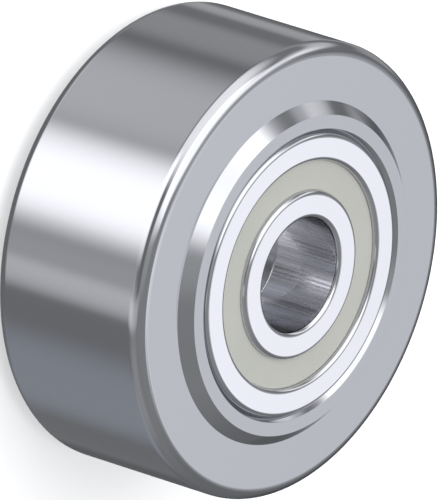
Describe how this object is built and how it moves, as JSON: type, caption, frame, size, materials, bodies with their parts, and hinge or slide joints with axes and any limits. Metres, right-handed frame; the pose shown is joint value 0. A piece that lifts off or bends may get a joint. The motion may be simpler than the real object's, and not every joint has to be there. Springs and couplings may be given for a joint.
{
  "type": "heavy-duty wheel",
  "caption": "Solid steel castor wheel with a wide flat tread and a raised hub, carried on a plain round axle by a sealed ball bearing pressed into each end of the hub.",
  "frame": {"origin": "centre of the wheel, on the axle's axis and midway between the two hub faces", "axes": "+Z along the axle, so the wheel lies on one hub face as it does on a bench; X and Y are any two directions in the wheel's middle plane, with ball 1 of each bearing on +X"},
  "size_m": [0.1, 0.1, 0.045],
  "materials": {
    "wheel_steel": "turned and polished",
    "bearing_steel": "ground and polished",
    "ball_steel": "lapped",
    "cage_steel": "pressed sheet, satin",
    "rivet_steel": "drawn wire, headed",
    "spacer_steel": "turned",
    "seal_rubber": "moulded, matt beige"
  },
  "bodies": {
    "axle_side": {"upper_inner_ring": "bearing_steel", "spacer_tube": "spacer_steel", "lower_inner_ring": "bearing_steel"},
    "wheel": {"wheel_body": "wheel_steel", "upper_outer_ring": "bearing_steel", "lower_outer_ring": "bearing_steel", "upper_face_seal": "seal_rubber", "upper_back_seal": "seal_rubber", "lower_face_seal": "seal_rubber", "lower_back_seal": "seal_rubber"},
    "upper_ball_set": {"upper_ball_1": "ball_steel", "upper_ball_2": "ball_steel", "upper_ball_3": "ball_steel", "upper_ball_4": "ball_steel", "upper_ball_5": "ball_steel", "upper_ball_6": "ball_steel", "upper_ball_7": "ball_steel", "upper_cage_front": "cage_steel", "upper_cage_back": "cage_steel", "upper_cage_rivets": "rivet_steel"},
    "lower_ball_set": {"lower_ball_1": "ball_steel", "lower_ball_2": "ball_steel", "lower_ball_3": "ball_steel", "lower_ball_4": "ball_steel", "lower_ball_5": "ball_steel", "lower_ball_6": "ball_steel", "lower_ball_7": "ball_steel", "lower_cage_front": "cage_steel", "lower_cage_back": "cage_steel", "lower_cage_rivets": "rivet_steel"}
  },
  "joints": [
    {"name": "wheel_spin", "type": "hinge", "parent": "axle_side", "child": "wheel", "pos_m": [0, 0, 0], "axis": [0, 0, 1], "continuous": true},
    {"name": "upper_ball_orbit", "type": "hinge", "parent": "axle_side", "child": "upper_ball_set", "pos_m": [0, 0, 0.014], "axis": [0, 0, 1], "continuous": true},
    {"name": "lower_ball_orbit", "type": "hinge", "parent": "axle_side", "child": "lower_ball_set", "pos_m": [0, 0, -0.014], "axis": [0, 0, 1], "continuous": true}
  ],
  "couplings": [
    {"joint": "upper_ball_orbit", "follows": "wheel_spin", "ratio": 0.62759},
    {"joint": "lower_ball_orbit", "follows": "wheel_spin", "ratio": 0.62759}
  ]
}
